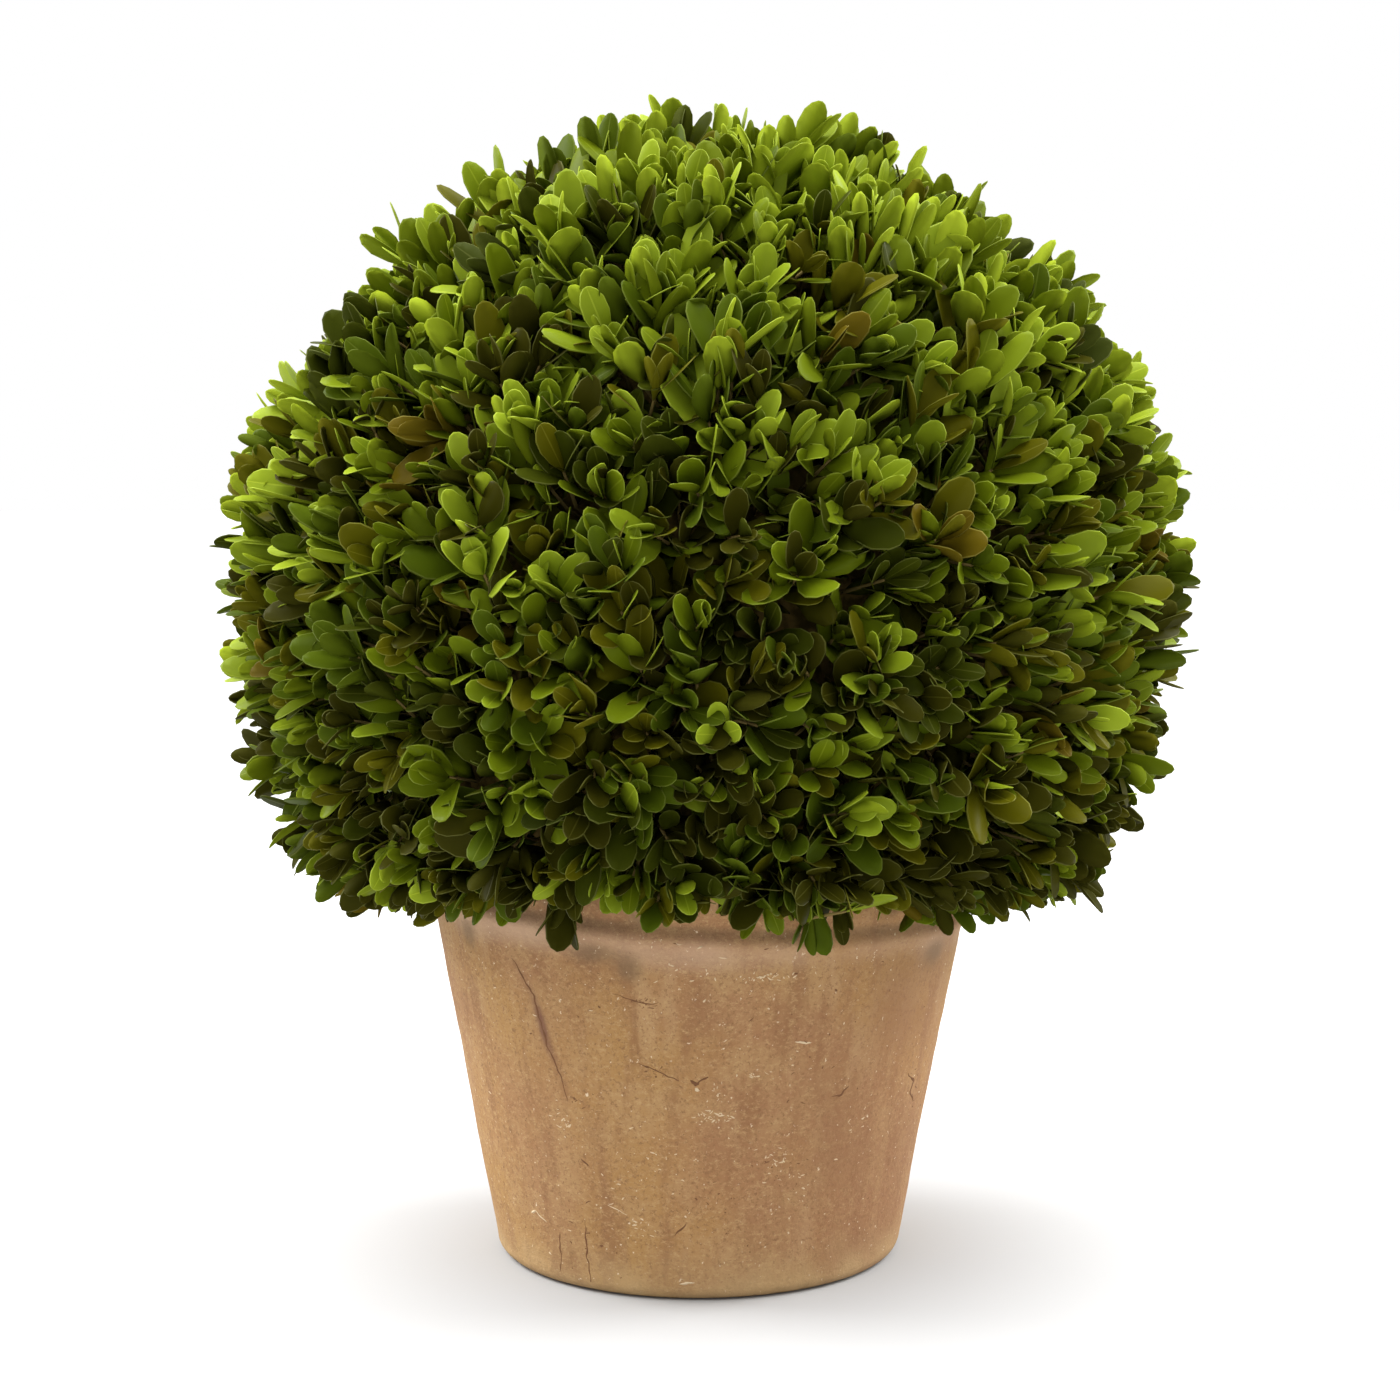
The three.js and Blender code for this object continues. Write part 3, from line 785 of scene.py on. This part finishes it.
PAIR_DEPTHS = np.array([0.8, 4.6, 10.0, 16.5]) * MM  # from the twig's end to each pair of leaves
PAIR_SPREADS = np.radians([14, 25, 36, 46])
PAIR_LENGTHS = np.array([18.0, 22.0, 22.5, 20.5]) * MM
PAIR_FALLEN = np.array([0, 0, 0.06, 0.36])  # the share of each pair's leaves that have dropped off
HIGHER_LARGER = 0.11  # how much larger leaves are at the ball's top, and smaller towards its foot
LOWER_LOOSER = 0.8  # how much less they turn to the light towards the foot

TWIG_BEND = 17 * MM  # from a twig's tip back to its bend
TWIG_THROUGH = 30 * MM  # from there in through the thatch
TWIG_RADII = [1.3 * MM, 1.0 * MM, 0.8 * MM, 0.55 * MM]


def skirt_height(points):
    """The height that the foliage is clipped to underneath, round the pot."""
    flat = np.maximum(np.hypot(points[..., 0], points[..., 1]), TINY)
    return SKIRT_LOW + SKIRT_RISE * (points[..., 1] / flat) ** 2


def clipped_radius(directions):
    """How far the twigs' ends lie from the ball's middle: a little short of the surface, and uneven."""
    leaf = PAIR_LENGTHS[0] * (1 + HIGHER_LARGER * directions[:, 2])
    reach = CROWN_RADIUS - PAIR_DEPTHS[0] - leaf * math.cos(PAIR_SPREADS[0])
    swells = SWELLS * noise_at(directions, SWELLS_SIZE, seed=31)
    tufts = TUFTS * noise_at(directions, TUFTS_SIZE, seed=32)
    for turn, depth, width in CUTS:
        side = np.array([math.sin(math.radians(turn)), 0, math.cos(math.radians(turn))])
        reach = reach - depth * MM * np.exp((directions @ side - 1) / math.radians(width) ** 2)
    growth = random.normal(GROWTH, GROWTH_VARIES, len(directions))
    return reach + (swells + tufts) + np.clip(growth, SHORTEST, LONGEST)


def ball_sprigs():
    jitter = random.normal(0, SPIRAL_JITTER, (BALL_SPRIGS, 3))
    directions = unit(spiral(BALL_SPRIGS, BALL_LOWEST) + jitter)
    tips = CROWN_CENTRE + directions * clipped_radius(directions)[:, None]
    outward = unit(tips - CROWN_CENTRE + UP * AIM_DROP)
    branch_lean = random.normal(0, BRANCH_LEAN, (BRANCHES, 3))[nearest_branch(tips)]
    return tips, unit(outward + branch_lean + random.normal(0, OWN_LEAN, (BALL_SPRIGS, 3)))


def skirt_sprigs():
    tips = []
    directions = []
    for count, radius, rise, droop in SKIRT_ROWS:
        turn = (np.arange(count) + random.uniform(-SKIRT_JITTER[0], SKIRT_JITTER[0], count)) * 360 / count
        outward = facing(turn)
        tip = outward * (radius + random.normal(0, SKIRT_JITTER[1], count))[:, None]
        tip[:, 2] = skirt_height(tip) + rise + random.normal(0, SKIRT_JITTER[2], count)
        tips.append(tip)
        drooping = outward * math.cos(math.radians(droop)) - UP * math.sin(math.radians(droop))
        directions.append(drooping + random.normal(0, SKIRT_LEAN, (count, 3)))
    return np.concatenate(tips), unit(np.concatenate(directions))


def stray_sprigs():
    turn, lift, extra = np.array(STRAYS, float).T
    lift = np.radians(lift)[:, None]
    directions = facing(turn) * np.cos(lift) + UP * np.sin(lift)
    reach = CROWN_RADIUS - PAIR_LENGTHS[0] + extra * MM
    return CROWN_CENTRE + directions * reach[:, None], directions


def hanging_sprigs():
    turn, height = np.array(HANGERS, float).T
    outward = facing(turn)
    tips = outward * HANGERS_RADIUS
    tips[:, 2] = height * MM
    return tips, unit(outward * HANGERS_LEAN - UP)


def make_twigs(tips, directions):
    """Thin twigs from the nearest branch's end, out through the thatch and bent to each sprig's tip."""
    bends = tips - directions * TWIG_BEND
    feet = bends - unit(bends - CROWN_CENTRE) * TWIG_THROUGH
    paths = np.stack([branch_ends[nearest_branch(feet)], feet, bends, tips], axis=1)
    flat = np.hypot(paths[..., 0], paths[..., 1])
    at_pot = (paths[..., 2] < POT_HEIGHT + 1 * MM) & (flat < RIM_RADIUS + 1 * MM)
    points, faces = tubes(paths[~at_pot.any(axis=1)], TWIG_RADII, sides=3)
    twig = plain_material("young_twig", (0.17, 0.125, 0.040), 0.6, 0.05)
    piece("twigs", points, faces, [twig], "foliage_ball")


# ---- Leaves ----

BLADE, UNDERSIDE, MARGIN_AND_HIGHLIGHT, RIB = range(4)  # the kinds of a leaf's triangles, in the order of its materials
STALK, STALK_HALF_WIDTH = 0.05, 0.09  # as shares of a leaf's length and of its half width


def half_width(t):
    """Half of a leaf's width along its length, as a share of the widest: egg-shaped, with a blunt tip."""
    blade = np.clip((t - STALK) / (1 - STALK), 0, 1)
    curve = blade**0.9 * (1 - blade) ** 0.56
    widest = 0.3783  # the highest that the curve goes
    return np.maximum(curve / widest, STALK_HALF_WIDTH * (t < 0.2))


def leaf_template(stations, columns):
    """One closed leaf: its corners, its triangles and each triangle's kind.

    A corner is a share of the length, a share of the half width, and 1 on top, -1 under or 0 on the edge.
    Five columns give it a margin down each side, and six a rib as well.
    """
    across = len(columns)
    corners = [(0, 0, 0)]
    for t in stations:
        corners += [(t, u, 0 if abs(u) == 1 else 1) for u in columns] + [(t, 0, -1)]
    corners.append((1, 0, 0))
    last = len(corners) - 1
    row = across + 1
    last_row = (len(stations) - 1) * row
    strips = [BLADE] * (across - 1)
    if across >= 5:
        strips[0] = strips[-1] = MARGIN_AND_HIGHLIGHT
    if across == 6:
        strips[2] = RIB
    faces = []
    kinds = []

    def add(kind, *triangles):
        faces.extend(triangles)
        kinds.extend([kind] * len(triangles))

    for k, kind in enumerate(strips):
        add(kind, (0, 2 + k, 1 + k))
        for a in range(1 + k, 1 + k + last_row, row):
            add(kind, (a, a + 1, a + 1 + row), (a, a + 1 + row, a + row))
        add(kind, (1 + last_row + k, 2 + last_row + k, last))
    for left in range(1, 1 + last_row, row):
        right = left + across - 1
        under = left + across
        add(UNDERSIDE, (left, under + row, under), (left, left + row, under + row))
        add(UNDERSIDE, (under, right + row, right), (under, under + row, right + row))
    add(UNDERSIDE, (0, 1, row), (0, row, across))
    end = 1 + last_row
    add(UNDERSIDE, (end, last, end + across), (end + across, last, end + across - 1))
    return np.array(corners, float), np.array(faces), np.array(kinds)


# The leaves of each pair, from the twig's end inwards.
MIDDLE_LEAF = leaf_template((0.12, 0.36, 0.63, 0.85, 0.96), (-1, -0.91, 0, 0.91, 1))
PAIR_LEAVES = [
    leaf_template((0.10, 0.31, 0.56, 0.78, 0.91, 0.98), (-1, -0.91, -0.06, 0.06, 0.91, 1)),
    MIDDLE_LEAF,
    MIDDLE_LEAF,
    leaf_template((0.28, 0.68, 0.93), (-1, 0, 1)),
]
BLADE_THICKNESS = 0.38 * MM
EDGE_ROLL = 0.12 * MM  # how far a leaf's edge turns down
RIB_SUNK = 0.08 * MM  # how deep its midrib lies
LEAF_TURN_VARIES, LEAF_SPREAD_VARIES, LEAF_TWIST_VARIES = 0.26, 0.20, 0.38  # deviations in radians
LEAF_DEPTHS = (0.8, 1.2)  # as shares of the pair's own, as is the next
LEAF_LENGTHS = (0.8, 1.1)
LEAF_WIDTHS = (0.37, 0.47)  # as shares of its length
LEAF_CUP = (0.06, 0.18)  # mean and deviation, as are the next two
LEAF_BEND = (-0.03, 0.08)
VIGOUR = (1.0, 0.12)  # a sprig's own size of leaf
VIGOUR_LIMITS = (0.72, 1.2)
LIGHT_OUTWARD, LIGHT_UP = 0.75, 0.65  # leaves turn to light from outside and from above
TURNED_TO_LIGHT = (0.2, 0.85)  # how far a leaf does
POT_CLEARANCE = 1.2 * MM
CLIPPING_SLACK = (-3.5 * MM, 5.5 * MM)  # how far leaves may stand under the clipped underside


def leaf_corners(shares, leaves):
    """The corners of many leaves at once, from a template's corners and each leaf's place and form."""
    t, u, side = shares.T
    width = half_width(t) * (t > 0) * (t < 1)
    x = leaves["width"][:, None] * (u * width)
    y = leaves["length"][:, None] * t
    cup = leaves["cup"][:, None] * leaves["width"][:, None] * (u * width) ** 2
    curl = leaves["bend"][:, None] * leaves["length"][:, None] * t**2
    rolled = np.where(np.abs(u) == 1, -EDGE_ROLL, 0)
    rolled = rolled + np.where((np.abs(u) < 0.1) & (side > 0), -RIB_SUNK, 0)
    broad = width > 0.2  # not close to either end
    z = cup + curl + side * BLADE_THICKNESS / 2 + rolled * broad
    return (
        leaves["root"][:, None]
        + x[..., None] * leaves["across"][:, None]
        + y[..., None] * leaves["along"][:, None]
        + z[..., None] * leaves["face"][:, None]
    )


def leaf_places(tips, directions):
    """Every leaf of every sprig: two opposite leaves at each pair, each pair a quarter turn from the last."""
    count = len(tips)
    pairs = len(PAIR_DEPTHS)
    first, second = squares_to(directions)
    roll = random.uniform(0, math.pi, count)[:, None, None]
    turn = roll + np.arange(pairs)[None, :, None] * math.pi / 2 + np.array([0, math.pi])[None, None, :]
    turn = turn + random.normal(0, LEAF_TURN_VARIES, (count, pairs, 2))
    outward = np.cos(turn)[..., None] * first[:, None, None] + np.sin(turn)[..., None] * second[:, None, None]
    stem = np.broadcast_to(directions[:, None, None], outward.shape)
    depth = PAIR_DEPTHS[None, :] * random.uniform(*LEAF_DEPTHS, (count, pairs))
    root = tips[:, None, None] - stem * depth[..., None, None]
    spread = PAIR_SPREADS[None, :, None] + random.normal(0, LEAF_SPREAD_VARIES, turn.shape)
    along = stem * np.cos(spread)[..., None] + outward * np.sin(spread)[..., None]
    face = stem * np.sin(spread)[..., None] - outward * np.cos(spread)[..., None]

    high = ((tips[:, 2] - CROWN_CENTRE[2]) / CROWN_RADIUS)[:, None, None]
    light = unit(root - CROWN_CENTRE) * LIGHT_OUTWARD + UP * LIGHT_UP
    light = light - along * (light * along).sum(-1, keepdims=True)
    drawn = random.uniform(*TURNED_TO_LIGHT, turn.shape) * (1 - LOWER_LOOSER * np.clip(0.1 - high, 0, 0.8))
    drawn = drawn[..., None]
    face = unit(face * (1 - drawn) + light * drawn)
    across = np.cross(along, face)
    twist = random.normal(0, LEAF_TWIST_VARIES, turn.shape)[..., None]
    twisted_face = face * np.cos(twist) + across * np.sin(twist)
    twisted_across = across * np.cos(twist) - face * np.sin(twist)

    vigour = np.clip(random.normal(*VIGOUR, (count, 1, 1)), *VIGOUR_LIMITS) * (1 + HIGHER_LARGER * high)
    length = PAIR_LENGTHS[None, :, None] * vigour * random.uniform(*LEAF_LENGTHS, turn.shape)
    leaves = {
        "root": root,
        "along": along,
        "face": twisted_face,
        "across": twisted_across,
        "length": length,
        "width": length * 0.5 * random.uniform(*LEAF_WIDTHS, turn.shape),
        "cup": random.normal(*LEAF_CUP, turn.shape),
        "bend": random.normal(*LEAF_BEND, turn.shape),
        "pair": np.broadcast_to(np.arange(pairs)[None, :, None], turn.shape),
        "sprig": np.broadcast_to(np.arange(count)[:, None, None], turn.shape),
    }
    return {name: values.reshape(-1, *values.shape[3:]) for name, values in leaves.items()}


def keeps_clear(leaves, may_hang):
    """Which leaves stay clear of the pot and over the clipped underside, and haven't dropped off inside."""
    corners = leaf_corners(PAIR_LEAVES[-1][0], leaves)  # the plainest leaf stands for every one
    flat = np.hypot(corners[..., 0], corners[..., 1])
    height = corners[..., 2]
    at_pot = (height < POT_HEIGHT + POT_CLEARANCE) & (flat < wall_radius(height) + POT_CLEARANCE)
    slack = random.uniform(*CLIPPING_SLACK, len(may_hang))
    slack[may_hang] = np.inf
    too_low = height < skirt_height(corners) - slack[leaves["sprig"]][:, None]
    fallen = random.uniform(0, 1, len(height)) < PAIR_FALLEN[leaves["pair"]]
    return ~((at_pot | too_low).any(axis=1) | fallen)


# Leaf colours: name, blade, and how often the tint is dealt out at the ball's foot, middle and top. The
# brighter tints dealt out towards the top and the darker ones towards the foot are painted light and painted
# shade.
TINTS = [
    ("sunlit", (0.210, 0.272, 0.013), (0.05, 0.06, 0.43)),
    ("fresh", (0.144, 0.190, 0.007), (0.08, 0.14, 0.34)),
    ("green", (0.091, 0.121, 0.003), (0.05, 0.19, 0.21)),
    ("deep", (0.053, 0.076, 0.003), (0.12, 0.20, 0.09)),
    ("olive", (0.073, 0.069, 0.002), (0.15, 0.16, 0.03)),
    ("dusky", (0.029, 0.036, 0.002), (0.05, 0.15, 0.03)),
    ("shaded", (0.029, 0.028, 0.002), (0.56, 0.15, 0.00)),
    ("russet", (0.080, 0.058, 0.003), (0.014, 0.014, 0.004)),
    ("bluish", (0.040, 0.050, 0.007), (0.01, 0.01, 0.02)),
]
TINT_HEIGHTS = (-0.7, 0.05, 0.9)  # foot, middle and top, as shares of the ball's radius over its middle
# Painted light: the left side is given brighter tints, as if lit more from the left.
LEFT_PAINTED_LIGHTER = 0.24  # the left side is dealt the tints of sprigs this much higher
ODD_LEAVES = 0.25  # the share of leaves whose tint isn't their sprig's own
PIECE_LIMIT = 190000  # triangles


def leaf_materials(name, blade):
    """A leaf's four materials, in the order of its kinds. The dark blades have the least gloss."""
    red, green, blue = blade
    gloss = 0.01 + 0.18 * green
    underside = (red * 1.05 + 0.006, green * 1.02 + 0.007, blue + 0.001)
    # The margin's paler colour is partly the leaf's own edge and partly a painted highlight along it,
    # strongest on the dark blades.
    margin_and_highlight = (red * 1.1 + 0.040, green * 1.1 + 0.042, blue * 1.4 + 0.011)
    rib = (red * 1.3 + 0.014, green * 1.25 + 0.015, blue * 1.3 + 0.002)
    return [
        plain_material(f"leaf_{name}", blade, 0.4, gloss),
        plain_material(f"leaf_{name}_underside", underside, 0.65, 0.02),
        plain_material(f"leaf_{name}_margin", margin_and_highlight, 0.5, 0.05),
        plain_material(f"leaf_{name}_rib", rib, 0.45, 0.1),
    ]


def deal_tints(tips):
    """A tint for each sprig, by how high it stands: painted light at the top and on the left, painted shade
    at the foot.
    """
    aside, _, height = ((tips - CROWN_CENTRE) / CROWN_RADIUS).T
    height = np.clip(height + LEFT_PAINTED_LIGHTER * np.clip(-aside, 0, 1), TINT_HEIGHTS[0], 1)
    blend = np.stack([np.interp(height, TINT_HEIGHTS, shares) for _, _, shares in TINTS], -1)
    steps = np.cumsum(blend / blend.sum(1, keepdims=True), axis=1)
    return (random.uniform(0, 1, len(tips))[:, None] > steps).sum(1).clip(0, len(TINTS) - 1)


def chosen_leaves(leaves, chosen):
    return {key: values[chosen] for key, values in leaves.items()}


def joined_leaves(leaves):
    """The points, triangles and kinds of all the given leaves."""
    meshes = []
    kinds = []
    for pair, (shares, faces, face_kinds) in enumerate(PAIR_LEAVES):
        corners = leaf_corners(shares, chosen_leaves(leaves, leaves["pair"] == pair))
        meshes.append((corners.reshape(-1, 3), repeated(faces, *corners.shape[:2])))
        kinds.append(np.tile(face_kinds, len(corners)))
    return *joined(meshes), np.concatenate(kinds)


def make_leaves(leaves, tints):
    """Joined leaves, each tint apart, in pieces under the limit of triangles."""
    triangles = np.array([len(faces) for _, faces, _ in PAIR_LEAVES])
    for index, (name, blade, _) in enumerate(TINTS):
        materials = leaf_materials(name, blade)
        own = chosen_leaves(leaves, tints == index)
        parts = int(triangles[own["pair"]].sum() // PIECE_LIMIT) + 1
        for part in range(parts):
            points, faces, kinds = joined_leaves(chosen_leaves(own, slice(part, None, parts)))
            piece(f"leaves_{name}_{part + 1}", points, faces, materials, "foliage_ball", kinds)


def make_foliage():
    groups = [ball_sprigs(), skirt_sprigs(), stray_sprigs(), hanging_sprigs()]
    tips = np.concatenate([group[0] for group in groups])
    directions = np.concatenate([group[1] for group in groups])
    may_hang = np.repeat([False, False, True, True], [len(group[0]) for group in groups])
    leaves = leaf_places(tips, directions)
    leaves = chosen_leaves(leaves, keeps_clear(leaves, may_hang))
    sprig_tints = deal_tints(tips)
    odd = random.uniform(0, 1, len(leaves["pair"])) < ODD_LEAVES
    other_tints = deal_tints(tips)
    tints = np.where(odd, other_tints[leaves["sprig"]], sprig_tints[leaves["sprig"]])
    make_leaves(leaves, tints)
    make_twigs(tips, directions)


# ---- Studio ----

CAMERA_PLACE = np.array([0.63, -950, 281.3]) * MM
CAMERA_DIP = 4.69  # degrees that it looks down
CAMERA_LENS = 66.34  # mm
FLOOR_REACH = 30.0
FLOOR_GREY = 0.42
FLOOR_DROP = 0.2 * MM  # it lies this far under the pot
OVERHEAD_POWER = 6.8
OVERHEAD_WIDTH = 80  # degrees, for soft shadows
OVERHEAD_TILT = -5  # degrees
SOFTBOX_SIDE = 0.8
SOFTBOXES = [("left", (-1.35, 0.35, 1.0), 28), ("right", (1.35, 0.35, 1.0), 31)]  # name, place and power


def make_camera():
    camera = add_object("camera", bpy.data.cameras.new("camera"))
    camera.location = CAMERA_PLACE
    camera.rotation_euler = (math.radians(90 - CAMERA_DIP), 0, 0)
    camera.data.lens = CAMERA_LENS
    bpy.context.scene.camera = camera


def make_floor():
    corners = [(x * FLOOR_REACH, y * FLOOR_REACH, 0) for x, y in ((-1, -1), (1, -1), (1, 1), (-1, 1))]
    mesh = bpy.data.meshes.new("floor")
    mesh.from_pydata(corners, [], [(0, 1, 2, 3)])
    mesh.materials.append(plain_material("pale_floor", (FLOOR_GREY, FLOOR_GREY, FLOOR_GREY), 0.9, 0.0))
    floor = add_object("floor", mesh)
    floor.location.z = -FLOOR_DROP


def make_world():
    world = bpy.data.worlds.new("studio")
    world.use_nodes = True
    world.node_tree.nodes["Background"].inputs["Color"].default_value = (1, 1, 1, 1)
    bpy.context.scene.world = world
    bpy.context.scene.view_settings.view_transform = "Standard"


def make_overhead():
    sky = bpy.data.lights.new("overhead", "SUN")
    sky.energy = OVERHEAD_POWER
    sky.angle = math.radians(OVERHEAD_WIDTH)
    add_object("overhead", sky).rotation_euler = (0, math.radians(OVERHEAD_TILT), 0)


def make_softbox(name, place, power):
    """A square light that looks at the ball's middle."""
    light = bpy.data.lights.new(name, "AREA")
    light.shape = "SQUARE"
    light.size = SOFTBOX_SIDE
    light.energy = power
    softbox = add_object(name, light)
    softbox.location = place
    softbox.rotation_euler = (Vector(CROWN_CENTRE) - Vector(place)).to_track_quat("-Z", "Y").to_euler()


make_camera()
make_floor()
make_world()
make_overhead()
for name, place, power in SOFTBOXES:
    make_softbox(name, place, power)

bark = bark_material()
make_stem(bark)
make_core()
make_boughs(bark)
make_foliage()
make_soil()
make_pot()
make_wall_marks()
